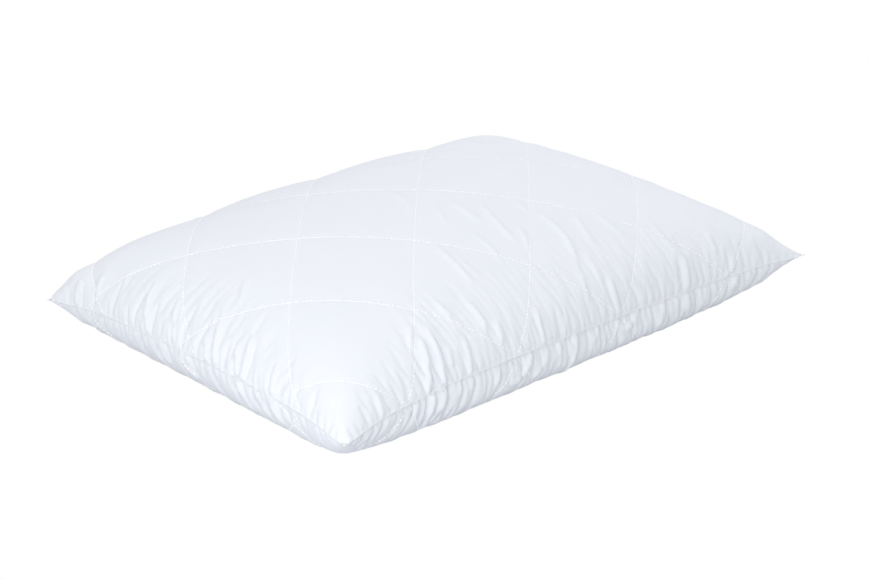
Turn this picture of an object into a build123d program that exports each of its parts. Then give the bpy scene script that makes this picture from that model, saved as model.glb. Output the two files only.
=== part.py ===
from build123d import *
from math import asin, cos, pi, radians, sin
import os

os.makedirs("parts", exist_ok=True)

# A filled bed pillow lying flat. Millimetres, +Z up, +X along the long side.
# The origin is on the floor under the middle of the pillow.

# Cut size of each quilted panel inside the seam
PANEL_LENGTH = 700.0
PANEL_WIDTH = 500.0

# Filled shape: the corners stay out, the middles of the sides are drawn in
TIP_X = 347.0
TIP_Y = 247.0
DRAW_IN_X = 25.0
DRAW_IN_Y = 29.0
SEAM_HEIGHT = 77.0
CROWN = 95.0
BELLY = 90.0
RIM_ANGLE = radians(84)

# How far inside the outer surface each layer starts and ends
COVER = (0.0, 0.6)
WADDING = (0.8, 4.3)
BACKING = (4.5, 4.9)
FILL_INSET = 7.6

# Quilting: two families of diagonal rows, equally spaced along the long side
ROW_PITCH = 500.0 / 3
ROW_INDEXES = range(-3, 4)
ROW_RADIUS = 0.2
ROW_A_STANDOFF = 0.4
ROW_B_STANDOFF = 1.0
ROW_END_GAP = 4.0
ROW_STEP = 4.0
FLAT_EASE = 1.2

# Seam around the edge
ALLOWANCE_WIDTH = 8.5
ALLOWANCE_THICKNESS = 1.2
ALLOWANCE_START = 1.5
ALLOWANCE_CLEARANCE = 0.5
CORNER_CLIP = 20.0
EDGE_THREAD_GAP = 0.15
EDGE_THREAD_WIDTH = 0.5
EDGE_THREAD_HEIGHT = 0.5
OVERLOCK_WIDTH = 0.8
OVERLOCK_HEIGHT = 1.6
CLOSING_LENGTH = 200.0
CLOSING_INSET = 2.0

# Patches across the half surfaces
CELLS_X = 44
CELLS_Y = 34
RIM_STEPS = 24

HALF_LENGTH = PANEL_LENGTH / 2
HALF_WIDTH = PANEL_WIDTH / 2
TOP = 1
BOTTOM = -1


def height_share(share):
    """The arch over the pillow: 1 in the middle, 0 at the seam."""
    rise = (cos(asin(share * sin(RIM_ANGLE))) - cos(RIM_ANGLE)) / (1 - cos(RIM_ANGLE))
    return max(rise, 0.0)


def skin_point(u, v, inset, side):
    """A point of the filled pillow, this far inside its outer surface; u and v run from -1 to 1."""
    x = u * (TIP_X - inset - DRAW_IN_X * (1 - v * v))
    y = v * (TIP_Y - inset - DRAW_IN_Y * (1 - u * u))
    full_along = (height_share(u) + sin(pi / 2 * height_share(u))) / 2
    rise = (CROWN if side == TOP else BELLY) - inset
    return Vector(x, y, SEAM_HEIGHT + side * rise * full_along * height_share(v))


def arched(share):
    return sin(RIM_ANGLE * share) / sin(RIM_ANGLE)


def sewn_point(s, t, inset, side):
    """The point s, t of the flat panel once filled: it arches over the middle and runs straight at the seam."""
    share_s = s / HALF_LENGTH
    share_t = t / HALF_WIDTH
    u = share_s + (arched(share_s) - share_s) * cos(pi / 2 * share_t)
    v = share_t + (arched(share_t) - share_t) * cos(pi / 2 * share_s)
    return skin_point(u, v, inset, side)


def half_body(inset, side):
    """Everything between one skin and the seam plane, flattened where it lies on the floor."""
    rows = []
    for i in range(CELLS_X + 1):
        u = arched(2 * i / CELLS_X - 1)
        rows.append([skin_point(u, arched(2 * j / CELLS_Y - 1), inset, side) for j in range(CELLS_Y + 1)])
    skin = Face.make_surface_from_array_of_points(rows, tol=0.001)
    lid = Face(skin.outer_wire())
    body = Solid(Shell([skin, lid]))
    if side == BOTTOM:
        above_floor = Pos(0, 0, inset) * Box(
            2 * PANEL_LENGTH, 2 * PANEL_WIDTH, 2 * PANEL_WIDTH, align=(Align.CENTER, Align.CENTER, Align.MIN)
        )
        body = body & above_floor
    return body


def rim_wire(inset, z):
    """The pillow's outline seen from above, this far inside the seam."""
    steps = [2 * i / RIM_STEPS - 1 for i in range(RIM_STEPS + 1)]
    near = [(step, -1) for step in steps]
    right = [(1, step) for step in steps]
    far = [(-step, 1) for step in steps]
    left = [(-1, -step) for step in steps]
    sides = []
    for shares in (near, right, far, left):
        points = [skin_point(u, v, inset, TOP) for u, v in shares]
        sides.append(Edge.make_spline([Vector(p.X, p.Y, z) for p in points]))
    return Wire(sides)


def rim_prism(inset, z_low, z_high):
    """A flat plate with the pillow's outline."""
    return extrude(Face(rim_wire(inset, z_low)), z_high - z_low, dir=(0, 0, 1))


def rim_ring(outer_inset, inner_inset, height):
    """A flat ring around the pillow, centred on the seam plane."""
    low = SEAM_HEIGHT - height / 2
    high = SEAM_HEIGHT + height / 2
    return rim_prism(outer_inset, low, high) - rim_prism(inner_inset, low - 1, high + 1)


def thread(points, radius, across):
    """A round thread through the points; across is the level direction at right angles to its run."""
    path = Edge.make_spline(points)
    count = len(points) - 1
    rings = []
    for i in range(count + 1):
        ring = Plane(origin=path @ (i / count), x_dir=across, z_dir=path % (i / count))
        rings.append(ring * Circle(radius))
    return loft(rings, ruled=True)


def row_points(family, index, inset, side):
    """One diagonal quilting row, from edge to edge of the flat panel."""
    offset = index * ROW_PITCH
    low = max(-HALF_WIDTH, -HALF_LENGTH - offset if family == "a" else offset - HALF_LENGTH)
    high = min(HALF_WIDTH, HALF_LENGTH - offset if family == "a" else offset + HALF_LENGTH)
    low += ROW_END_GAP
    high -= ROW_END_GAP
    count = max(6, round((high - low) / ROW_STEP))
    points = []
    for i in range(count + 1):
        t = low + (high - low) * i / count
        s = offset + t if family == "a" else offset - t
        p = sewn_point(s, t, inset, side)
        above_flat = p.Z - inset
        eased = (above_flat + (above_flat**2 + FLAT_EASE**2) ** 0.5) / 2
        points.append(Vector(p.X, p.Y, inset + eased))
    return points


def save(name, shape):
    shape.label = name
    export_step(shape, f"parts/{name}.step")


# The quilted panels: woven cover outside, thin wadding, thin backing inside
for side, prefix in ((TOP, "top"), (BOTTOM, "bottom")):
    for layer, (outer, inner) in (("cover", COVER), ("wadding", WADDING), ("backing", BACKING)):
        save(f"{prefix}_{layer}", half_body(outer, side) - half_body(inner, side))

# The seam allowance of all the layers, turned in, with its corners clipped, and overlocked
allowance_outer = BACKING[1] + ALLOWANCE_START
allowance_inner = allowance_outer + ALLOWANCE_WIDTH
allowance = rim_ring(allowance_outer, allowance_inner, ALLOWANCE_THICKNESS)
for x in (-TIP_X, TIP_X):
    for y in (-TIP_Y, TIP_Y):
        clip = Box(CORNER_CLIP * 2**0.5, CORNER_CLIP * 2**0.5, CORNER_CLIP)
        allowance -= Pos(x, y, SEAM_HEIGHT) * Rot(0, 0, 45) * clip
save("seam_allowance", allowance)
overlock_outer = allowance_inner + 0.1
overlock_inner = overlock_outer + OVERLOCK_WIDTH
save("overlock_thread", rim_ring(overlock_outer, overlock_inner, OVERLOCK_HEIGHT))

# The loose fibre fill, with a groove around it where the seam allowance stands in
groove = OVERLOCK_HEIGHT / 2 + ALLOWANCE_CLEARANCE
slab = Pos(0, 0, SEAM_HEIGHT) * Box(2 * PANEL_LENGTH, 2 * PANEL_WIDTH, 2 * groove)
core_inset = overlock_inner + ALLOWANCE_CLEARANCE
core = rim_prism(core_inset, SEAM_HEIGHT - 2 * groove, SEAM_HEIGHT + 2 * groove)
high_half = half_body(FILL_INSET, TOP) - slab
low_half = half_body(FILL_INSET, BOTTOM) - slab
save("fibre_fill", high_half + low_half + core)

# The seam that joins the panels, and the row that closes the filling gap at one short side
edge_outer = -EDGE_THREAD_GAP - EDGE_THREAD_WIDTH
save("edge_seam_thread", rim_ring(edge_outer, -EDGE_THREAD_GAP, EDGE_THREAD_HEIGHT))
closing = []
for i in range(13):
    t = CLOSING_LENGTH * (i / 12 - 0.5)
    closing.append(sewn_point(HALF_LENGTH - CLOSING_INSET, t, -ROW_A_STANDOFF, TOP))
save("closing_seam_thread", thread(closing, ROW_RADIUS, (1, 0, 0)))

# The quilting rows: outside on the top panel, inside on the panel that lies on the floor
for family, standoff, across in (("a", ROW_A_STANDOFF, (1, -1, 0)), ("b", ROW_B_STANDOFF, (1, 1, 0))):
    for number, index in enumerate(ROW_INDEXES, start=1):
        top_row = row_points(family, index, -standoff, TOP)
        save(f"top_quilt_thread_{family}{number}", thread(top_row, ROW_RADIUS, across))
        bottom_row = row_points(family, index, BACKING[1] + standoff, BOTTOM)
        save(f"bottom_quilt_thread_{family}{number}", thread(bottom_row, ROW_RADIUS, across))
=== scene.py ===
"""A quilted bed pillow: two sewn panels, filled by a small cloth solver, with their layers and stitches."""

import math

import bpy
import numpy as np
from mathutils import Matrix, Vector


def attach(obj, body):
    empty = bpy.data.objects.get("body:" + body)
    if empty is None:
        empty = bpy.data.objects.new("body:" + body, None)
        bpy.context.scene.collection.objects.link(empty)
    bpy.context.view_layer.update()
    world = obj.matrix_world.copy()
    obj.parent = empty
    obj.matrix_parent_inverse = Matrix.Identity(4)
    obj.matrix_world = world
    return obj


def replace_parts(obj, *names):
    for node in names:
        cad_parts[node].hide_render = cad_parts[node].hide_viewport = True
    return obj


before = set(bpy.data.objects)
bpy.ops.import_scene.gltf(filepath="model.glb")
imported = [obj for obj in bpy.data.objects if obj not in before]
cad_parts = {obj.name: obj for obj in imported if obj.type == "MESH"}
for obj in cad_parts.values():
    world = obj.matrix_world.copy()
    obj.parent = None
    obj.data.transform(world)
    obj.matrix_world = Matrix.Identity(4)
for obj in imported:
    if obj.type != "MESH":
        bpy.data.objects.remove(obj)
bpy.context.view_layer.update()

F = np.float32
ALL = slice(None)

# Flat size of each panel between its seams, and the quilting
LONG = 0.700
SHORT = 0.500
PITCH = 0.500 / 3
CELLS = (42, 30)  # cells along and across at the coarsest level; each level halves them
FINEST = 3


def panel_axes(level):
    along = np.linspace(-LONG / 2, LONG / 2, CELLS[0] * 2**level + 1)
    across = np.linspace(-SHORT / 2, SHORT / 2, CELLS[1] * 2**level + 1)
    return along, across


def panel_grid(level):
    return np.meshgrid(*panel_axes(level))


# ---------------------------------------------------------------- the cloth solver
# Points are held as (xyz, panel, row, column). Panel 0 is the top one, panel 1 lies on the floor.


def halve_cells(points):
    for axis in (2, 3):
        a = np.moveaxis(points, axis, 0)
        b = np.empty((2 * a.shape[0] - 1, *a.shape[1:]), a.dtype)
        b[::2] = a
        middle = 0.5 * (a[:-1] + a[1:])
        middle[1:-1] = (-a[:-3] + 9 * a[1:-2] + 9 * a[2:-1] - a[3:]) / 16
        b[1::2] = middle
        points = np.moveaxis(b, 0, axis)
    return np.ascontiguousarray(points)


def size_of(vectors):
    return np.sqrt(vectors[0] ** 2 + vectors[1] ** 2 + vectors[2] ** 2)


def differences(points, axis):
    p = np.moveaxis(points, axis, -1)
    d = np.empty_like(p)
    d[..., 1:-1] = p[..., 2:] - p[..., :-2]
    d[..., 0] = p[..., 1] - p[..., 0]
    d[..., -1] = p[..., -1] - p[..., -2]
    return np.moveaxis(d, -1, axis)


def outward(points):
    du, dv = differences(points, 3), differences(points, 2)
    n = np.stack([
        du[1] * dv[2] - du[2] * dv[1],
        du[2] * dv[0] - du[0] * dv[2],
        du[0] * dv[1] - du[1] * dv[0],
    ])
    n[:, 1] *= -1
    return n / np.maximum(size_of(n), 1e-12)


def pull(points, a, b, rest, longer, shorter, share=0.5):
    """Moves the two ends of each thread towards its rest length."""
    d = points[b] - points[a]
    n = size_of(d)
    c = n - rest
    move = (share * np.where(c > 0, F(longer), F(shorter)) * c / np.maximum(n, 1e-9)) * d
    points[a] += move
    points[b] -= move


def settle(points, steps, passes, rest, gain, damp, shear, bulge):
    """The fill pushes harder where the pillow is thinner than FULLNESS; the seam and the floor hold."""
    before = points.copy()
    rows, columns = points.shape[2:]
    along, across, slant = (r.astype(F) for r in rest)
    mean_along, mean_across = float(along.mean()), float(across.mean())
    for _ in range(steps):
        n = outward(points)
        thick = size_of(points[:, 0] - points[:, 1])
        push = np.clip(FULLNESS / np.maximum(thick, 1e-4) - 1, 0, 3)[None]
        height = points[2]
        speed = (points - before) * F(damp)
        before = points
        points = points + speed + F(gain) * (push * bulge + F(WEIGHT) * (height.max() - height) / F(0.15)) * n
        points[2] -= F(gain * 0.3 * WEIGHT)
        for _ in range(passes):
            for odd in (0, 1):
                a, b = slice(odd, columns - 1, 2), slice(odd + 1, columns, 2)
                pull(points, (ALL, ALL, ALL, a), (ALL, ALL, ALL, b), along[:, :, odd::2], 1.0, 1.0)
                a, b = slice(odd, rows - 1, 2), slice(odd + 1, rows, 2)
                pull(points, (ALL, ALL, a), (ALL, ALL, b), across[:, odd::2], 1.0, 1.0)
            low, high = slice(0, -1), slice(1, None)
            pull(points, (ALL, ALL, low, low), (ALL, ALL, high, high), slant, shear, shear, 0.25)
            pull(points, (ALL, ALL, low, high), (ALL, ALL, high, low), slant, shear, shear, 0.25)
            low, high = slice(0, -2), slice(2, None)
            pull(points, (ALL, ALL, ALL, low), (ALL, ALL, ALL, high), 2 * mean_along, 0.0, STIFFNESS, 0.25)
            pull(points, (ALL, ALL, low), (ALL, ALL, high), 2 * mean_across, 0.0, STIFFNESS, 0.25)
            for edge in ((ALL, ALL, 0), (ALL, ALL, -1), (ALL, ALL, ALL, 0), (ALL, ALL, ALL, -1)):
                points[edge] = points[edge].mean(1, keepdims=True)
            np.maximum(points[2], 0, out=points[2])
    return points


# ---------------------------------------------------------------- cutting, gathering and filling

FULLNESS = 0.27  # thickness at which the fill stops pushing
WEIGHT = 0.1  # how much harder the fill presses low down, and how fast it all sinks
STIFFNESS = 0.02
EARLY_DAMPING = 0.93
LATE_DAMPING = 0.9
RIM_EASE = 0.985  # the seam thread holds the edge a little short
PUCKER_FEED = 0.065  # how much longer the fabric beside the seam is than the seam
PUCKER_DEPTH = 0.028
DRAPE_FEED = 0.012  # extra cloth for the looser folds further up the top panel
DRAPE_DEPTH = 0.16
TUCK_FEED = 0.10  # one deeper tuck that runs in from the near side
TUCK_PLACE = -0.205
TUCK_LEAN = 0.5
TUCK_WIDTH = 0.03
TUCK_RUN = 0.08
FOLD_SEED = 11
GATHER_SEED = 5


def edge_distances(level):
    s, t = panel_grid(level)
    return s, t, SHORT / 2 - np.abs(t), LONG / 2 - np.abs(s)


def ramp(x, low, high):
    k = np.clip((x - low) / (high - low), 0, 1)
    return k * k * (3 - 2 * k)


def overfeed(level):
    """Extra cloth along and across, as shares of the flat length, for each panel."""
    s, t, from_long, from_short = edge_distances(level)
    near = t < 0
    along = PUCKER_FEED * np.exp(-from_long / PUCKER_DEPTH)
    across = PUCKER_FEED * np.exp(-from_short / PUCKER_DEPTH)
    along = np.stack([along, 1.5 * PUCKER_FEED * np.exp(-from_long / (0.6 * PUCKER_DEPTH))])
    across = np.stack([across, across * 1.3])
    drape = DRAPE_FEED * np.exp(-from_long / DRAPE_DEPTH) * (0.35 + 0.65 * ramp(s, -0.12, 0.08) * near)
    along[0] += drape
    across[0] += 0.6 * DRAPE_FEED * np.exp(-from_short / 0.07)
    from_near = t + SHORT / 2
    off = s - TUCK_PLACE - TUCK_LEAN * from_near
    along += TUCK_FEED * np.exp(-((off / TUCK_WIDTH) ** 2) - (from_near / TUCK_RUN) ** 2)
    return along, across


def rest_lengths(level, ease, feed):
    s, t = panel_axes(level)
    ds, dt = s[1] - s[0], t[1] - t[0]
    rows, columns = len(t), len(s)
    along = np.full((2, rows, columns - 1), ds)
    across = np.full((2, rows - 1, columns), dt)
    if feed:
        extra_along, extra_across = overfeed(level)
        along *= 1 + 0.5 * (extra_along[:, :, 1:] + extra_along[:, :, :-1])
        across *= 1 + 0.5 * (extra_across[:, 1:] + extra_across[:, :-1])
    for edge in (0, -1):
        along[:, edge] = ds * ease
        across[:, :, edge] = dt * ease
    a = 0.5 * (along[:, 1:] + along[:, :-1])
    b = 0.5 * (across[:, :, 1:] + across[:, :, :-1])
    return along, across, np.hypot(a, b)


def crease(u, d, at, lean, wide, deep, run):
    """One fold that starts at the seam: u runs along the seam, d away from it."""
    return deep * np.exp(-(((u - at - lean * d) / wide) ** 2) - (d / run) ** 2)


def seam_sides(level):
    """Each side of a panel: places along it, distance from it, half its length and the cells on its half."""
    s, t, from_long, from_short = edge_distances(level)
    return ((s, from_long, LONG / 2, t < 0), (s, from_long, LONG / 2, t >= 0),
            (t, from_short, SHORT / 2, s < 0), (t, from_short, SHORT / 2, s >= 0))


def seed_folds(level, rng):
    """Small starting creases that the cloth then deepens as its spare length buckles."""
    sides = seam_sides(level)
    out = np.zeros((2, *sides[0][0].shape))
    for panel in (0, 1):
        for u, d, half, side in sides:
            at = -half + 0.012
            while at < half - 0.01:
                run = rng.uniform(0.008, 0.026) * (1.7 if rng.uniform() < 0.2 else 1)
                deep = rng.uniform(0.0008, 0.0024) * (1 + 0.7 * panel) * ramp(half - abs(at), 0.01, 0.06)
                wide = rng.uniform(0.0022, 0.0034) * (1 + 0.3 * panel)
                way = 1 if rng.uniform() < 0.45 else -1
                lean = rng.uniform(-0.3, 0.3) - 0.4 * panel
                out[panel] += way * side * crease(u, d, at, lean, wide, deep, run)
                at += rng.uniform(0.006, 0.011) if rng.uniform() < 0.75 else rng.uniform(0.018, 0.034)
    return out


# The longer folds of this pillow, in millimetres on the flat panel from its centre:
# start (along, across), end (along, across), sideways bow, half width, height.
# Each was picked by eye, and its ends were then worked out on the flat panel by a helper script.
TOP_FOLDS = (
    (29, -64, 11, -134, 3, 3.2, 1.3),
    (5, -46, 2, -92, 1, 5, 1.2),
    (-73, -100, -82, -169, 0, 3.2, 1.2),
    (-67, -127, -67, -162, 1, 2.8, 0.8),
    (72, -106, 51, -190, -8, 3.6, 1.3),
    (109, -125, 95, -169, 2, 4.3, 1.1),
    (134, -131, 142, -179, 2, 2.9, 0.9),
    (75, -176, 71, -211, 0, 2.9, 0.9),
    (84, -208, 81, -250, 1, 2.9, 1.4),
    (196, -210, 191, -250, 0, 2.9, 1.2),
    (52, -192, 43, -221, 0, 2.9, 0.8),
    (241, -199, 240, -225, -1, 2.9, 1),
    (262, -231, 251, -250, -1, 3.2, 1.4),
    (-139, -167, -139, -192, 0, 2.8, 1.3),
    (-108, -177, -109, -215, -2, 3.2, 1.5),
    (-92, -208, -97, -231, 0, 3.2, 1.3),
    (-32, -210, -40, -250, 2, 2.8, 1.4),
    (-175, -192, -196, -250, 0, 3.4, 1.6),
    (-184, -188, -220, -250, 0, 3, 1.5),
    (-185, -181, -218, -221, 4, 2.8, 1.2),
    (-169, -215, -175, -236, 0, 3.2, 1.5),
    (-142, -212, -153, -250, 2, 2.9, 1.2),
    (-282, -225, -285, -250, 1, 2.9, 1.2),
    (-6, -212, -4, -227, -1, 2.8, 0.8),
    (-307, 165, -350, 153, 7, 2.9, 1.2),
    (-298, 84, -350, 67, 2, 2.9, 1.6),
    (-301, 40, -350, 18, 0, 2.9, 1.2),
    (-285, -24, -350, -52, -2, 3.2, 1.4),
    (-311, -71, -350, -88, -1, 2.9, 1.3),
    (-294, -76, -350, -94, -7, 4, 1.6),
    (-246, -14, -277, -37, 0, 2.9, 1),
    (-319, -133, -350, -141, 0, 3.6, 1.2),
    (-319, 196, -350, 199, 1, 3.6, 1.4),
    (-319, -24, -350, -36, -1, 2.9, 1.2),
    (-27, 17, -43, -42, -3, 3.2, 0.8),
    (186, -160, 197, -227, 5, 3.2, 0.8),
    (230, -164, 256, -204, 0, 3.2, 0.8),
    (-15, -43, -34, -79, 0, 2.8, 0.8),
    (66, -75, 64, -101, -1, 2.8, 0.8),
    (34, -116, 15, -151, -1, 2.8, 0.9),
    (-23, -102, -28, -154, -3, 3, 0.8),
)
BOTTOM_FOLDS = (
    (-211, -250, -213, -230, -1, 2.8, 1.4),
    (-194, -250, -206, -232, 2, 3, 1.4),
    (-169, -250, -177, -237, 1, 2.8, 0.9),
    (-111, -250, -118, -233, 2, 2.8, 1.2),
    (-61, -250, -93, -230, 7, 2.9, 1.7),
    (-33, -250, -61, -225, 4, 2.9, 1.2),
    (12, -250, -1, -207, -2, 2.9, 1.9),
    (-236, -250, -239, -237, 0, 2.9, 1),
    (-150, -250, -161, -240, 3, 2.8, 0.8),
    (-14, -250, -24, -234, 1, 2.8, 1),
    (-270, -250, -264, -235, -2, 2.8, 1),
    (112, -250, 82, -239, 5, 3, 1.4),
    (77, -250, 73, -236, 1, 2.9, 1.3),
    (153, -250, 140, -226, 0, 3.2, 1.3),
    (190, -250, 186, -231, -1, 3.2, 1.4),
    (264, -250, 254, -236, 1, 3.2, 1.5),
    (176, -250, 163, -235, 0, 2.9, 1),
    (47, -250, 35, -238, 2, 2.9, 0.9),
    (-350, 50, -322, 38, 0, 2.8, 1.2),
    (-350, 12, -318, -12, -2, 2.9, 1.7),
    (-350, -86, -316, -101, 0, 2.8, 1.4),
    (-350, -137, -322, -148, 0, 2.9, 1.6),
    (-350, -114, -320, -127, 1, 2.8, 1.1),
    (-350, 2, -316, -22, -1, 2.8, 1),
)


def placed_folds(level):
    """The folds of the two lists above, as heights on the panels."""
    s, t, from_long, from_short = edge_distances(level)
    s, t = 1000 * s, 1000 * t
    out = np.zeros((2, *s.shape))
    for panel, folds in enumerate((TOP_FOLDS, BOTTOM_FOLDS)):
        for s0, t0, s1, t1, bow, wide, high in folds:
            reach = math.hypot(s1 - s0, t1 - t0)
            k = ((s - s0) * (s1 - s0) + (t - t0) * (t1 - t0)) / reach**2
            off = ((s - s0) * (t1 - t0) - (t - t0) * (s1 - s0)) / reach - 4 * bow * k * (1 - k)
            at_start, at_end = (min(350 - abs(x), 250 - abs(y)) < 1 for x, y in ((s0, t0), (s1, t1)))
            taper = (1 if at_start else ramp(k, -0.12, 0.3)) * (1 if at_end else 1 - ramp(k, 0.7, 1.12))
            out[panel] += high / 1000 * taper * np.exp(-((off / wide) ** 2)) * (np.abs(k - 0.5) < 0.8)
    return out


BROAD_WIDTH = 0.0085


def broad_folds(level, rng):
    """Faint wide hollows in the top panel, running in from all four sides."""
    s, t, from_long, from_short = edge_distances(level)
    out = np.zeros((2, *s.shape))
    for u, d, half, side in ((t, from_short, 0.19, s < 0), (t, from_short, 0.19, s >= 0),
                             (s, from_long, 0.3, t >= 0), (s, from_long, 0.3, t < 0)):
        at = -half
        while at < half:
            lean, deep, run = rng.uniform(-0.1, 0.1), rng.uniform(0.0006, 0.002), rng.uniform(0.04, 0.1)
            out[0] -= side * crease(u, d, at, lean, BROAD_WIDTH, deep, run)
            at += rng.uniform(0.024, 0.056)
    return out


# How this pillow lies out of true, in millimetres (x, y, z): four places in each row, near side first.
# This table and the next four values were found by a helper script that fitted outline, seam and rows.
SETTLED_MM = (
    ((13.4, -14.5, -2), (21.3, -20.2, -2.1), (-14.7, 2.8, -32.9), (8.2, -13.8, -0.6)),
    ((-13.1, 15.5, -0.4), (-9.1, -0.2, -6), (6.5, -4.5, 4.9), (-1.1, 5.9, 8.7)),
    ((-3.7, -1.4, -9.5), (-9.4, 12.1, 11.8), (0, 2.4, 5.3), (1.2, 3.6, 9.3)),
    ((7.6, -9.6, -12.2), (-4.8, 8.2, 8.2), (-6.9, -1, -16.7), (-4.5, -3.1, -16.8)),
)
BELLY_NEAR = 0.0226
BELLY_LEFT = 0.0009
SEAM_RISE_NEAR = 0.0059
SEAM_RISE_LEFT = 0.0061


def quarters(x):
    """Weights of four evenly spread handles along -1 to 1."""
    k = (x + 1) / 2
    return np.stack([(1 - k) ** 3, 3 * k * (1 - k) ** 2, 3 * k * k * (1 - k), k**3])


def settled(points, level):
    """The whole shape eased out of its symmetry; what lies on the floor stays there."""
    s, t = panel_grid(level)
    u, v = 2 * s / LONG, 2 * t / SHORT
    near, left = np.clip(-v, 0, 1), np.clip(-u, 0, 1)
    shift = np.einsum("jab,iab,jic->cab", quarters(v), quarters(u), np.array(SETTLED_MM) / 1000)
    shift[2] += SEAM_RISE_NEAR * (1 - u**4) * near**8 + SEAM_RISE_LEFT * (1 - v**4) * left**8
    moved = points + shift[:, None] * np.clip(points[2] / 0.07, 0, 1)
    round_out = np.sin(np.pi * np.clip(points[2, 1] / 0.075, 0, 1))
    near_out = BELLY_NEAR * (1 - u**4) * near**3 * round_out
    left_out = BELLY_LEFT * (1 - v**4) * left**3 * round_out
    moved[1, 1] -= near_out
    moved[0, 1] -= left_out
    moved[2, 1] -= 0.5 * (near_out + left_out)
    moved[2] = np.maximum(moved[2], 0)
    return moved.astype(F)


def even_seam(points):
    """The seam thread draws the edge into an even line; the cloth beside it follows."""
    for axis in (2, 3):
        rings = np.moveaxis(points, axis, 0)
        for end, inwards in ((0, 1), (-1, -1)):
            line = rings[end, :, 0].copy()
            for _ in range(40):
                line[:, 1:-1] += 0.25 * (line[:, :-2] - 2 * line[:, 1:-1] + line[:, 2:])
            change = (line - rings[end, :, 0])[:, None]
            for k, share in enumerate((1, 0.75, 0.5, 0.3, 0.15)):
                rings[end + k * inwards] += F(share) * change
    return points


def flat_ears(points, level):
    """The two panels lie closer together towards each corner, least at the near left one."""
    s, t, from_long, from_short = edge_distances(level)
    full = np.clip((from_long + from_short) / 0.07, 0, 1) ** 0.6
    keep = 0.65 * np.clip(-s / 0.1, 0, 1) * np.clip(-t / 0.1, 0, 1)
    middle = points.mean(1, keepdims=True)
    return (middle + (points - middle) * (full + (1 - full) * keep)).astype(F)


def fill_pillow():
    rng = np.random.default_rng(FOLD_SEED)
    s, t = panel_grid(0)
    arch = 0.06 * np.sqrt(np.maximum((1 - (2 * s / LONG) ** 2) * (1 - (2 * t / SHORT) ** 2), 0))
    flat = [np.stack([s * 0.96, t * 0.95, 0.07 + side * arch]) for side in (1, -1)]
    points = np.stack(flat, 1).astype(F)
    rest = rest_lengths(0, ease=1, feed=False)
    points = settle(points, 250, 8, rest, gain=2e-4, damp=EARLY_DAMPING, shear=0.3, bulge=1)
    points = halve_cells(points)
    rest = rest_lengths(1, RIM_EASE, feed=False)
    points = settle(points, 150, 8, rest, gain=5e-5, damp=EARLY_DAMPING, shear=0.3, bulge=1)
    if FINEST < 2:
        return settled(points, 1)
    points = halve_cells(points)
    seeds = seed_folds(2, rng) + broad_folds(2, rng) + placed_folds(2)
    points = (points + seeds[None] * outward(points)).astype(F)
    rest = rest_lengths(2, RIM_EASE, feed=True)
    points = settle(points, 110, 10, rest, gain=1.25e-5, damp=LATE_DAMPING, shear=0.25, bulge=0.25)
    points = halve_cells(points)
    rest = rest_lengths(3, RIM_EASE, feed=True)
    points = settle(points, 35, 10, rest, gain=3e-6, damp=LATE_DAMPING, shear=0.2, bulge=0.25)
    return settled(flat_ears(even_seam(points), 3), 3)


# ---------------------------------------------------------------- quilting and seam relief

ROW_GROOVE = 0.0004
ROW_GROOVE_WIDTH = 0.0025
ROW_PUFF = 0.0008
ROW_PUFF_WIDTH = 0.016
CELL_PUFF = 0.0046  # how far the cells stand above the rows on the far side, where the fill is loosest
CELL_PUFF_WIDTH = 0.032
SEAM_RIDGE = 0.0009  # the edge stands a little proud between the puckers
SEAM_RIDGE_WIDTH = 0.0013
FOLD_HEIGHT = 1.8


def row_distance(s, t):
    """Distance in the flat panel to the nearest quilting row of either family."""
    a, b = (s - t) / PITCH, (s + t) / PITCH
    nearest = np.minimum(np.abs(a - np.round(a)), np.abs(b - np.round(b)))
    return nearest * PITCH / math.sqrt(2)


GATHER_HEIGHTS = (0.0005, 0.0010)


def fine_gathers(level, rng):
    """Small ridges where the seam thread gathers the cloth, tighter and leaning on the underside."""
    sides = seam_sides(level)
    out = np.zeros((2, *sides[0][0].shape))
    for panel, high in enumerate(GATHER_HEIGHTS):
        for u, d, half, side in sides:
            at = -half + 0.03
            while at < half - 0.03:
                lean = rng.uniform(-0.2, 0.2) - 0.5 * panel
                wide, run = rng.uniform(0.0019, 0.0026), rng.uniform(0.010, 0.030)
                out[panel] += side * crease(u, d, at, lean, wide, high * rng.uniform(0.4, 1.5), run)
                at += rng.uniform(0.005, 0.010)
    return out


def quilt(points, level):
    s, t, from_long, from_short = edge_distances(level)
    d = row_distance(s, t)
    rim = np.minimum(from_long, from_short)
    lift = ROW_PUFF * (1 - np.exp(-d / ROW_PUFF_WIDTH)) - ROW_GROOVE * np.exp(-d / ROW_GROOVE_WIDTH)
    lift *= np.clip(rim / 0.006, 0, 1)
    lift += SEAM_RIDGE * np.exp(-((rim / SEAM_RIDGE_WIDTH) ** 2))
    lift = np.stack([lift, lift])
    puff = CELL_PUFF * (1 - np.exp(-d / CELL_PUFF_WIDTH))
    lift[0] += puff * ramp(t, 0.02, 0.21) * np.clip(rim / 0.03, 0, 1)
    if level > 1:
        folds = FOLD_HEIGHT * placed_folds(level) + fine_gathers(level, np.random.default_rng(GATHER_SEED))
        lift += folds * np.clip(rim / 0.004, 0, 1)
    lift *= ramp(from_long + from_short, 0.004, 0.03)
    lifted = points + (lift[None] * outward(points)).astype(F)
    for edge in ((ALL, ALL, 0), (ALL, ALL, -1), (ALL, ALL, ALL, 0), (ALL, ALL, ALL, -1)):
        lifted[edge] = lifted[edge].mean(1, keepdims=True)
    lifted[2] = np.maximum(lifted[2], 0)
    return lifted


# ---------------------------------------------------------------- meshes


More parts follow.
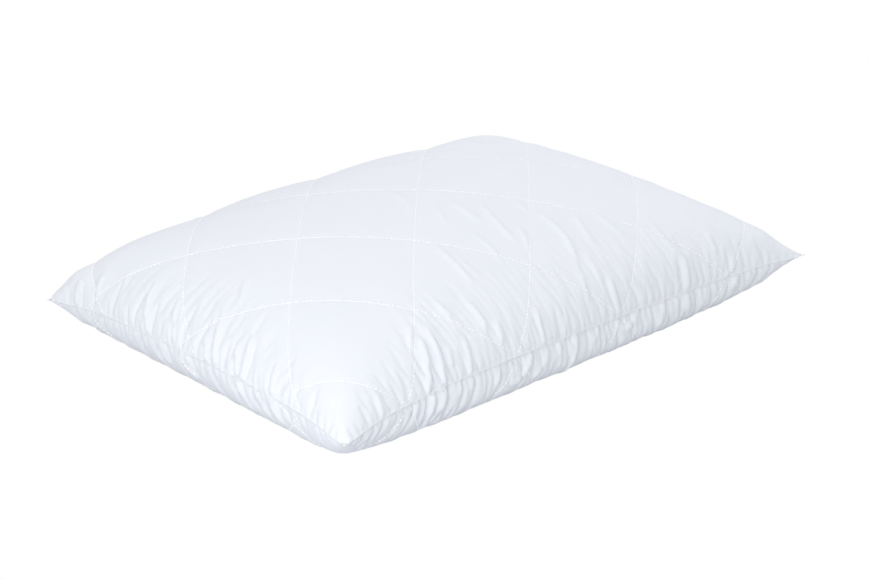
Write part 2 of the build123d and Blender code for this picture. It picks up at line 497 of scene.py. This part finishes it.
def add_mesh(name, points, faces, material, smooth=True):
    mesh = bpy.data.meshes.new(name)
    faces = np.asarray(faces, np.int32)
    corners = faces.shape[1]
    mesh.vertices.add(len(points))
    mesh.vertices.foreach_set("co", np.ascontiguousarray(points, F).ravel())
    mesh.loops.add(faces.size)
    mesh.loops.foreach_set("vertex_index", faces.ravel())
    mesh.polygons.add(len(faces))
    mesh.polygons.foreach_set("loop_start", np.arange(len(faces), dtype=np.int32) * corners)
    mesh.polygons.foreach_set("use_smooth", np.full(len(faces), smooth))
    mesh.update(calc_edges=True)
    mesh.validate()
    mesh.materials.append(material)
    obj = bpy.data.objects.new(name, mesh)
    bpy.context.scene.collection.objects.link(obj)
    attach(obj, "root")
    return obj


def panel_faces(level, flip):
    """Two triangles to a cell, split along the quilting row that crosses it."""
    rows, columns = CELLS[1] * 2**level + 1, CELLS[0] * 2**level + 1
    index = np.arange(rows * columns).reshape(rows, columns)
    a, b = index[:-1, :-1], index[:-1, 1:]
    c, d = index[1:, 1:], index[1:, :-1]
    j, i = np.indices(a.shape)
    per_pitch = 10 * 2**level
    on_b = (i + j + 1 - 36 * 2**level) % per_pitch == 0
    one = np.where(on_b[..., None], np.stack([a, b, d], -1), np.stack([a, b, c], -1))
    two = np.where(on_b[..., None], np.stack([b, c, d], -1), np.stack([a, c, d], -1))
    faces = np.concatenate([one.reshape(-1, 3), two.reshape(-1, 3)])
    return faces[:, ::-1] if flip else faces


def as_vertices(grid_points):
    return np.moveaxis(grid_points, 0, -1).reshape(-1, 3)


def panel_sheet(name, surface, panel, material, cad_node):
    """One layer of a panel as a single sheet, with its flat position in metres as the UV map."""
    rows, columns = surface.shape[2:]
    level = int(round(math.log2((columns - 1) / CELLS[0])))
    faces = panel_faces(level, panel == 1)
    obj = add_mesh(name, as_vertices(surface[:, panel]), faces, material)
    s, t = panel_grid(level)
    flat = np.stack([s, t], -1).reshape(-1, 2)
    uv = obj.data.uv_layers.new(name="flat")
    uv.data.foreach_set("uv", flat[faces.ravel()].astype(F).ravel())
    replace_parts(obj, cad_node)
    return obj


def inset(points, depth):
    """The surface moved inwards by depth, less where the pillow is too thin for it."""
    thick = size_of(points[:, 0] - points[:, 1])
    step = np.minimum(depth, 0.3 * thick)
    moved = points - step[None, None] * outward(points)
    moved[2, 1] = np.maximum(moved[2, 1], depth)
    return moved


def closed_body(points, skip):
    """Top and bottom grids joined by a rounded wall, skip cells in from the seam."""
    core = points[:, :, skip:-skip, skip:-skip]
    rows, columns = core.shape[2:]
    index = np.arange(rows * columns).reshape(rows, columns)
    a, b, c, d = index[:-1, :-1], index[:-1, 1:], index[1:, 1:], index[1:, :-1]
    quads = np.stack([a, b, c, d], -1).reshape(-1, 4)
    loop = np.concatenate([index[0, :-1], index[:-1, -1], index[-1, :0:-1], index[:0:-1, 0]])
    count, n = rows * columns, len(loop)
    top, bottom = as_vertices(core[:, 0]), as_vertices(core[:, 1])
    vertices = [top, bottom]
    rings = [loop]
    centre = 0.5 * (top[loop] + bottom[loop]).mean(0)
    for k in range(1, 6):
        share = k / 6
        ring = top[loop] * (1 - share) + bottom[loop] * share
        away = ring - centre
        away[:, 2] = 0
        away /= np.maximum(np.linalg.norm(away, axis=1, keepdims=True), 1e-9)
        ring = ring + away * 0.004 * math.sin(math.pi * share)
        vertices.append(ring)
        rings.append(2 * count + (k - 1) * n + np.arange(n))
    rings.append(count + loop)
    walls = []
    for upper, lower in zip(rings[:-1], rings[1:]):
        walls.append(np.stack([upper, lower, np.roll(lower, -1), np.roll(upper, -1)], -1))
    faces = np.concatenate([quads, count + quads[:, ::-1], *walls])
    return np.concatenate(vertices), faces


def seam_loop(points):
    """The seam line once round: places on it and level directions into the pillow."""
    mid = points.mean(1)
    edge = np.concatenate([mid[:, 0, :-1].T, mid[:, :-1, -1].T, mid[:, -1, :0:-1].T, mid[:, :0:-1, 0].T])
    run = np.roll(edge, -1, 0) - np.roll(edge, 1, 0)
    for _ in range(6):
        run = (np.roll(run, 1, 0) + run + np.roll(run, -1, 0)) / 3
    run /= np.linalg.norm(run, axis=1, keepdims=True)
    inward = np.cross([0.0, 0.0, 1.0], run)
    inward /= np.linalg.norm(inward, axis=1, keepdims=True)
    up = np.cross(run, inward)
    return edge, run, inward, up


def seam_corners(points):
    mid = points.mean(1)
    return [mid[:, j, i] for j in (0, -1) for i in (0, -1)]


def tube_faces(count):
    """Faces of a closed ring of count four-cornered sections."""
    index = np.arange(count * 4).reshape(count, 4)
    faces = []
    for k in range(4):
        a, b = index[:, k], index[:, (k + 1) % 4]
        faces.append(np.stack([a, b, np.roll(b, -1), np.roll(a, -1)], -1))
    return np.concatenate(faces)


def band(edge, inward, up, near, far, height):
    """A closed strip round the inside of the seam with a rectangular section."""
    section = [(near, height / 2), (far, height / 2), (far, -height / 2), (near, -height / 2)]
    rings = np.stack([edge + inward * d + up * h for d, h in section], 1)
    return rings.reshape(-1, 3), tube_faces(len(edge))


def stitch_mesh(name, places, runs, ups, length, radius, cad_node):
    """One thread shown as its separate stitches: little rounded bars that sink at both ends."""
    sides = 6
    stations = [(-0.5, 0.35, -0.2), (-0.4, 0.9, 0.05), (0.0, 1.05, 0.3), (0.4, 0.9, 0.05), (0.5, 0.35, -0.2)]
    runs = runs / np.linalg.norm(runs, axis=1, keepdims=True)
    across = np.cross(runs, ups)
    across /= np.linalg.norm(across, axis=1, keepdims=True)
    ups = np.cross(across, runs)
    rings = []
    for along, share, rise in stations:
        middle = places + runs * (along * length) + ups * (rise * radius)
        for k in range(sides):
            angle = 2 * math.pi * k / sides
            rings.append(middle + radius * share * (across * math.cos(angle) + ups * math.sin(angle)))
    count = len(places)
    vertices = np.stack(rings, 1).reshape(-1, 3)
    per = sides * len(stations)
    one = []
    for ring in range(len(stations) - 1):
        for k in range(sides):
            m = (k + 1) % sides
            a, b = ring * sides + k, ring * sides + m
            one += [(a, a + sides, b + sides), (a, b + sides, b)]
    last = (len(stations) - 1) * sides
    for k in range(1, sides - 1):
        one += [(0, k, k + 1), (last, last + k + 1, last + k)]
    faces = (np.arange(count)[:, None, None] * per + np.array(one)[None]).reshape(-1, 3)
    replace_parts(add_mesh(name, vertices, faces, sewing_thread), cad_node)


def on_surface(points, panel, s, t):
    """Place and outward direction on a panel at flat positions s, t."""
    rows, columns = points.shape[2:]
    x = np.clip((s / LONG + 0.5) * (columns - 1), 0, columns - 1.001)
    y = np.clip((t / SHORT + 0.5) * (rows - 1), 0, rows - 1.001)
    i, j = x.astype(int), y.astype(int)
    fx, fy = (x - i), (y - j)
    found = []
    for field in (points, outward(points)):
        f = field[:, panel]
        v = (f[:, j, i] * (1 - fx) * (1 - fy) + f[:, j, i + 1] * fx * (1 - fy)
             + f[:, j + 1, i] * (1 - fx) * fy + f[:, j + 1, i + 1] * fx * fy)
        found.append(v.T)
    return found


STITCH_PITCH = 0.0048
STITCH_LENGTH = 0.0041
STITCH_RADIUS = 0.00065
STITCH_LEAD = 0.0016  # how far ahead and behind the direction of a stitch is taken
ROW_END = 0.003
ROW_SAMPLES = 900


def quilt_row(surface, panel, family, index):
    """Evenly spaced stitches along one diagonal row, measured on the filled surface."""
    offset = index * PITCH
    if family == "a":
        low, high = max(-SHORT / 2, -LONG / 2 - offset), min(SHORT / 2, LONG / 2 - offset)
    else:
        low, high = max(-SHORT / 2, offset - LONG / 2), min(SHORT / 2, offset + LONG / 2)
    t = np.linspace(low + ROW_END, high - ROW_END, ROW_SAMPLES)
    s = offset + t if family == "a" else offset - t
    places, _ = on_surface(surface, panel, s, t)
    run = np.concatenate([[0], np.cumsum(np.linalg.norm(np.diff(places, axis=0), axis=1))])
    count = int(run[-1] / STITCH_PITCH)
    at = (np.arange(count) + 0.5) * run[-1] / count
    t = np.interp(at, run, t)
    s = offset + t if family == "a" else offset - t
    places, ups = on_surface(surface, panel, s, t)
    ahead, _ = on_surface(surface, panel, *flat_step(family, s, t, STITCH_LEAD))
    behind, _ = on_surface(surface, panel, *flat_step(family, s, t, -STITCH_LEAD))
    return places, ahead - behind, ups


def flat_step(family, s, t, step):
    return (s + step if family == "a" else s - step), t + step


# ---------------------------------------------------------------- materials


def new_material(name, color, roughness, sheen=0.0, sheen_roughness=0.5, sheen_tint=(1, 1, 1, 1)):
    material = bpy.data.materials.new(name)
    material.use_nodes = True
    tree = material.node_tree
    shader = tree.nodes["Principled BSDF"]
    shader.inputs["Base Color"].default_value = (*color, 1)
    shader.inputs["Roughness"].default_value = roughness
    shader.inputs["Sheen Weight"].default_value = sheen
    shader.inputs["Sheen Roughness"].default_value = sheen_roughness
    shader.inputs["Sheen Tint"].default_value = sheen_tint
    shader.inputs["Specular IOR Level"].default_value = 0.3
    return material, tree, shader


def node(tree, kind, **values):
    made = tree.nodes.new(kind)
    for key, value in values.items():
        if hasattr(made, key):
            setattr(made, key, value)
        else:
            made.inputs[key.replace("_", " ")].default_value = value
    return made


def vary_color(tree, shader, coordinate, low, high, scale):
    """Soft unevenness of the base colour."""
    noise = node(tree, "ShaderNodeTexNoise", Scale=scale, Detail=3.0)
    mix = tree.nodes.new("ShaderNodeMix")
    mix.data_type = "RGBA"
    mix.inputs["A"].default_value = (*low, 1)
    mix.inputs["B"].default_value = (*high, 1)
    tree.links.new(coordinate, noise.inputs["Vector"])
    tree.links.new(noise.outputs["Fac"], mix.inputs["Factor"])
    tree.links.new(mix.outputs["Result"], shader.inputs["Base Color"])


def vary_roughness(tree, shader, coordinate, low, high, scale):
    noise = node(tree, "ShaderNodeTexNoise", Scale=scale, Detail=2.0)
    spread = tree.nodes.new("ShaderNodeMapRange")
    spread.inputs["To Min"].default_value = low
    spread.inputs["To Max"].default_value = high
    tree.links.new(coordinate, noise.inputs["Vector"])
    tree.links.new(noise.outputs["Fac"], spread.inputs["Value"])
    tree.links.new(spread.outputs["Result"], shader.inputs["Roughness"])


def add_bump(tree, shader, height, strength, distance):
    bump = tree.nodes.new("ShaderNodeBump")
    bump.inputs["Strength"].default_value = strength
    bump.inputs["Distance"].default_value = distance
    tree.links.new(height, bump.inputs["Height"])
    tree.links.new(bump.outputs["Normal"], shader.inputs["Normal"])


def woven(name, low, high, yarn, strength):
    """Plain weave: two crossed sets of yarns, yarn metres apart, on the flat position of the cloth."""
    cool = (0.95, 0.97, 1, 1)
    material, tree, shader = new_material(name, high, 0.75, sheen=0.12, sheen_roughness=0.45, sheen_tint=cool)
    flat = tree.nodes.new("ShaderNodeUVMap")
    flat.uv_map = "flat"
    place = flat.outputs["UV"]
    waves = []
    for direction in ("X", "Y"):
        wave = node(tree, "ShaderNodeTexWave", Scale=math.pi / 10 / yarn, Distortion=0.6, Detail=1.0)
        wave.bands_direction = direction
        wave.inputs["Detail Scale"].default_value = 1.5
        tree.links.new(place, wave.inputs["Vector"])
        waves.append(wave.outputs["Fac"])
    weave = node(tree, "ShaderNodeMath", operation="MULTIPLY")
    tree.links.new(waves[0], weave.inputs[0])
    tree.links.new(waves[1], weave.inputs[1])
    add_bump(tree, shader, weave.outputs["Value"], strength, 0.0001)
    vary_color(tree, shader, place, low, high, 14.0)
    vary_roughness(tree, shader, place, 0.68, 0.84, 40.0)
    return material


def fibrous(name, low, high, scale, strength, distance):
    """Loose fibres: stretched noise in the colour and the relief."""
    material, tree, shader = new_material(name, high, 0.95, sheen=0.35, sheen_roughness=0.6)
    where = tree.nodes.new("ShaderNodeTexCoord").outputs["Object"]
    noise = node(tree, "ShaderNodeTexNoise", Scale=scale, Detail=6.0, Distortion=1.2)
    tree.links.new(where, noise.inputs["Vector"])
    add_bump(tree, shader, noise.outputs["Fac"], strength, distance)
    vary_color(tree, shader, where, low, high, scale / 6)
    vary_roughness(tree, shader, where, 0.88, 1.0, scale / 4)
    return material


def twisted(name, low, high, ply):
    """Sewing thread: fine slanted plies."""
    material, tree, shader = new_material(name, high, 0.5, sheen=0.2, sheen_roughness=0.3)
    where = tree.nodes.new("ShaderNodeTexCoord").outputs["Object"]
    wave = node(tree, "ShaderNodeTexWave", Scale=math.pi / 10 / ply, Distortion=0.4)
    wave.bands_direction = "DIAGONAL"
    tree.links.new(where, wave.inputs["Vector"])
    add_bump(tree, shader, wave.outputs["Fac"], 0.3, 0.00005)
    vary_color(tree, shader, where, low, high, 60.0)
    vary_roughness(tree, shader, where, 0.42, 0.6, 80.0)
    return material


percale = woven("percale", (0.840, 0.857, 0.910), (0.870, 0.885, 0.930), 0.0004, 0.25)
lining = woven("backing_cloth", (0.80, 0.81, 0.83), (0.86, 0.87, 0.88), 0.0007, 0.4)
wadding_fibre = fibrous("wadding_fibre", (0.84, 0.85, 0.87), (0.92, 0.92, 0.93), 420.0, 0.5, 0.0006)
fill_fibre = fibrous("fill_fibre", (0.86, 0.87, 0.89), (0.95, 0.95, 0.96), 160.0, 0.7, 0.003)
sewing_thread = twisted("sewing_thread", (0.965, 0.97, 0.98), (0.995, 0.995, 1.0), 0.0005)


# ---------------------------------------------------------------- the pillow

filled = fill_pillow()
quilted = quilt(filled, FINEST)
coarser = quilted[:, :, ::2, ::2]

# How far each layer lies under the outer face
WADDING_DEPTH = 0.0016
BACKING_DEPTH = 0.0042
FILL_DEPTH = 0.0068

wadding_places = inset(coarser, WADDING_DEPTH)
backing_places = inset(coarser, BACKING_DEPTH)

for panel, prefix in enumerate(("top", "bottom")):
    cover = panel_sheet(f"{prefix}_cover_cloth", quilted, panel, percale, f"{prefix}_cover")
    wadding = panel_sheet(f"{prefix}_wadding_sheet", wadding_places, panel, wadding_fibre,
                          f"{prefix}_wadding")
    backing = panel_sheet(f"{prefix}_backing_sheet", backing_places, panel, lining,
                          f"{prefix}_backing")

fill_points, fill_faces = closed_body(inset(coarser, FILL_DEPTH), max(2, 2 ** (FINEST - 1)))
body = add_mesh("fibre_fill_body", fill_points, fill_faces, fill_fibre)
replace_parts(body, "fibre_fill")

# The seam: the turned-in allowance with its overlocking, the joining stitches and the closing row
ALLOWANCE_REACH = (0.0035, 0.0105)
ALLOWANCE_THICKNESS = 0.0012
CORNER_FADE = 0.045
OVERLOCK_RADIUS = 0.00015
OVERLOCK_PITCH = 0.0030
OVERLOCK_REACH = (0.0085, 0.0112)
OVERLOCK_HEIGHT = 0.0011
EDGE_STITCH = {"length": 0.0026, "radius": 0.00022}
EDGE_STITCH_PITCH = 0.0028
EDGE_STITCH_SINK = 0.0003
EDGE_STITCH_END = 0.008  # no stitch is closer than this to a corner
CLOSING_STITCH = {"length": 0.0032, "radius": 0.00030}
CLOSING_STITCH_PITCH = 0.0040
CLOSING_HALF_LENGTH = 0.098
CLOSING_INSET = 0.0030

edge, run, inward, up = seam_loop(quilted)
corner_gap = np.min([np.linalg.norm(edge - corner, axis=1) for corner in seam_corners(quilted)], axis=0)
fade = np.clip(corner_gap / CORNER_FADE, 0.03, 1)[:, None]
strip_points, strip_faces = band(edge, inward * fade, up * fade, *ALLOWANCE_REACH, ALLOWANCE_THICKNESS)
strip = add_mesh("seam_allowance_strip", strip_points, strip_faces, percale, smooth=False)
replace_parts(strip, "seam_allowance")


def along_line(at, knots, field):
    return np.stack([np.interp(at, knots, field[:, k]) for k in range(3)], 1)


def overlock_loops(radius, pitch, near, far):
    """A thread that loops round the raw edge of the allowance."""
    length = np.concatenate([[0], np.cumsum(np.linalg.norm(np.diff(edge, axis=0), axis=1))])
    total = length[-1] + np.linalg.norm(edge[0] - edge[-1])
    turns = round(total / pitch)
    angle = np.arange(turns * 10) * (2 * math.pi / 10)
    at = angle / (2 * math.pi) * total / turns
    closed = [np.concatenate([field, field[:1]]) for field in (edge, inward * fade, up * fade)]
    knots = np.concatenate([length, [total]])
    centre, side, rise = [along_line(at, knots, field) for field in closed]
    middle, half = (near + far) / 2, (far - near) / 2
    across, over = middle + half * np.cos(angle), OVERLOCK_HEIGHT * np.sin(angle)
    path = centre + side * across[:, None] + rise * over[:, None]
    ahead = np.roll(path, -1, 0) - np.roll(path, 1, 0)
    ahead /= np.linalg.norm(ahead, axis=1, keepdims=True)
    first = np.cross(ahead, rise)
    first /= np.maximum(np.linalg.norm(first, axis=1, keepdims=True), 1e-9)
    second = np.cross(ahead, first)
    rings = np.stack([path + radius * (first * math.cos(a) + second * math.sin(a))
                      for a in (math.pi / 4 + k * math.pi / 2 for k in range(4))], 1)
    return rings.reshape(-1, 3), tube_faces(len(path))


loops, loop_faces = overlock_loops(OVERLOCK_RADIUS, OVERLOCK_PITCH, *OVERLOCK_REACH)
overlock = add_mesh("overlock_loops", loops, loop_faces, sewing_thread)
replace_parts(overlock, "overlock_thread")

length = np.concatenate([[0], np.cumsum(np.linalg.norm(np.diff(edge, axis=0), axis=1))])
count = int(length[-1] / EDGE_STITCH_PITCH)
at = (np.arange(count) + 0.5) * length[-1] / count
clear = np.interp(at, length, corner_gap) > EDGE_STITCH_END
on_edge, runs, sinks = [along_line(at, length, field)[clear] for field in (edge, run, inward)]
places = on_edge + EDGE_STITCH_SINK * sinks
stitch_mesh("edge_seam_stitches", places, runs, -sinks, cad_node="edge_seam_thread", **EDGE_STITCH)

t = np.arange(-CLOSING_HALF_LENGTH, CLOSING_HALF_LENGTH + 0.0001, CLOSING_STITCH_PITCH)
places, ups = on_surface(quilted, 0, np.full_like(t, LONG / 2 - CLOSING_INSET), t)
runs = np.gradient(places, axis=0)
stitch_mesh("closing_seam_stitches", places, runs, ups, cad_node="closing_seam_thread", **CLOSING_STITCH)

for panel, prefix in enumerate(("top", "bottom")):
    for family in ("a", "b"):
        for number in range(1, 8):
            stitches = quilt_row(quilted, panel, family, number - 4)
            stitch_mesh(f"{prefix}_quilt_row_{family}{number}", *stitches, STITCH_LENGTH, STITCH_RADIUS,
                        f"{prefix}_quilt_thread_{family}{number}")


# ---------------------------------------------------------------- stage, light and camera

FLOOR_WHITE = 1.0
SKY_WHITE = 0.76


def glowing(name, strength):
    material = bpy.data.materials.new(name)
    material.use_nodes = True
    tree = material.node_tree
    tree.nodes.clear()
    shader = tree.nodes.new("ShaderNodeEmission")
    shader.inputs["Color"].default_value = (1, 1, 1, 1)
    shader.inputs["Strength"].default_value = strength
    out = tree.nodes.new("ShaderNodeOutputMaterial")
    tree.links.new(shader.outputs["Emission"], out.inputs["Surface"])
    return material


# The camera sees only white all round. Light comes back up from a table top that the camera doesn't see.
bpy.ops.mesh.primitive_plane_add(size=30, location=(0, 0, -0.0010))
sweep = bpy.context.object
sweep.name = "white_sweep"
sweep.data.materials.append(glowing("sweep_white", FLOOR_WHITE))
sweep.visible_diffuse = sweep.visible_glossy = sweep.visible_shadow = False
bpy.ops.mesh.primitive_plane_add(size=30, location=(0, 0, -0.0005))
floor = bpy.context.object
floor.name = "table_top"
floor.data.materials.append(new_material("table_white", (0.66, 0.67, 0.69), 0.9)[0])
floor.visible_camera = False

world = bpy.data.worlds.new("studio")
bpy.context.scene.world = world
world.use_nodes = True
background = world.node_tree.nodes["Background"]
background.inputs["Color"].default_value = (0.97, 0.985, 1, 1)
background.inputs["Strength"].default_value = SKY_WHITE


def area_light(name, place, target, size, watts):
    data = bpy.data.lights.new(name, "AREA")
    data.shape = "RECTANGLE"
    data.size, data.size_y = size
    data.energy = watts
    light = bpy.data.objects.new(name, data)
    light.location = place
    light.rotation_mode = "QUATERNION"
    light.rotation_quaternion = (Vector(target) - Vector(place)).to_track_quat("-Z", "Y")
    bpy.context.scene.collection.objects.link(light)


area_light("overhead", (1.4, 0.6, 2.2), (0.05, 0.05, 0.1), (1.5, 1.4), 15.5)
area_light("left_side", (-2.25, -0.75, 0.28), (-0.1, -0.05, 0.08), (0.9, 0.5), 7.2)
area_light("front_left", (-1.0, -0.85, 0.55), (-0.22, -0.18, 0.1), (0.4, 0.4), 3.2)

bpy.ops.mesh.primitive_uv_sphere_add(radius=20, segments=48, ring_count=24)
dome = bpy.context.object
dome.name = "white_dome"
dome.data.materials.append(sweep.data.materials[0])
dome.visible_diffuse = dome.visible_glossy = dome.visible_shadow = False

# A helper script fitted the camera to where the outline, the seam and the rows of this pillow are seen.
# The shift is in shares of the picture's width.
CAMERA_AZIMUTH = math.radians(227.617)
CAMERA_ELEVATION = math.radians(23.227)
CAMERA_DISTANCE = 2.407
CAMERA_TARGET = Vector((0, 0, 0.07))
CAMERA_LENS = 90.02
CAMERA_SHIFT = (0.0169931, -0.0163989)

camera_data = bpy.data.cameras.new("camera")
camera = bpy.data.objects.new("camera", camera_data)
bpy.context.scene.collection.objects.link(camera)
reach = math.cos(CAMERA_ELEVATION)
back = Vector((
    math.cos(CAMERA_AZIMUTH) * reach,
    math.sin(CAMERA_AZIMUTH) * reach,
    math.sin(CAMERA_ELEVATION),
))
camera.location = CAMERA_TARGET + back * CAMERA_DISTANCE
camera.rotation_mode = "QUATERNION"
camera.rotation_quaternion = back.to_track_quat("Z", "Y")
camera_data.sensor_width = 36
camera_data.lens = CAMERA_LENS
camera_data.shift_x, camera_data.shift_y = CAMERA_SHIFT
camera_data.clip_end = 60
bpy.context.scene.camera = camera

scene = bpy.context.scene
scene.view_settings.view_transform = "Standard"
scene.view_settings.look = "None"
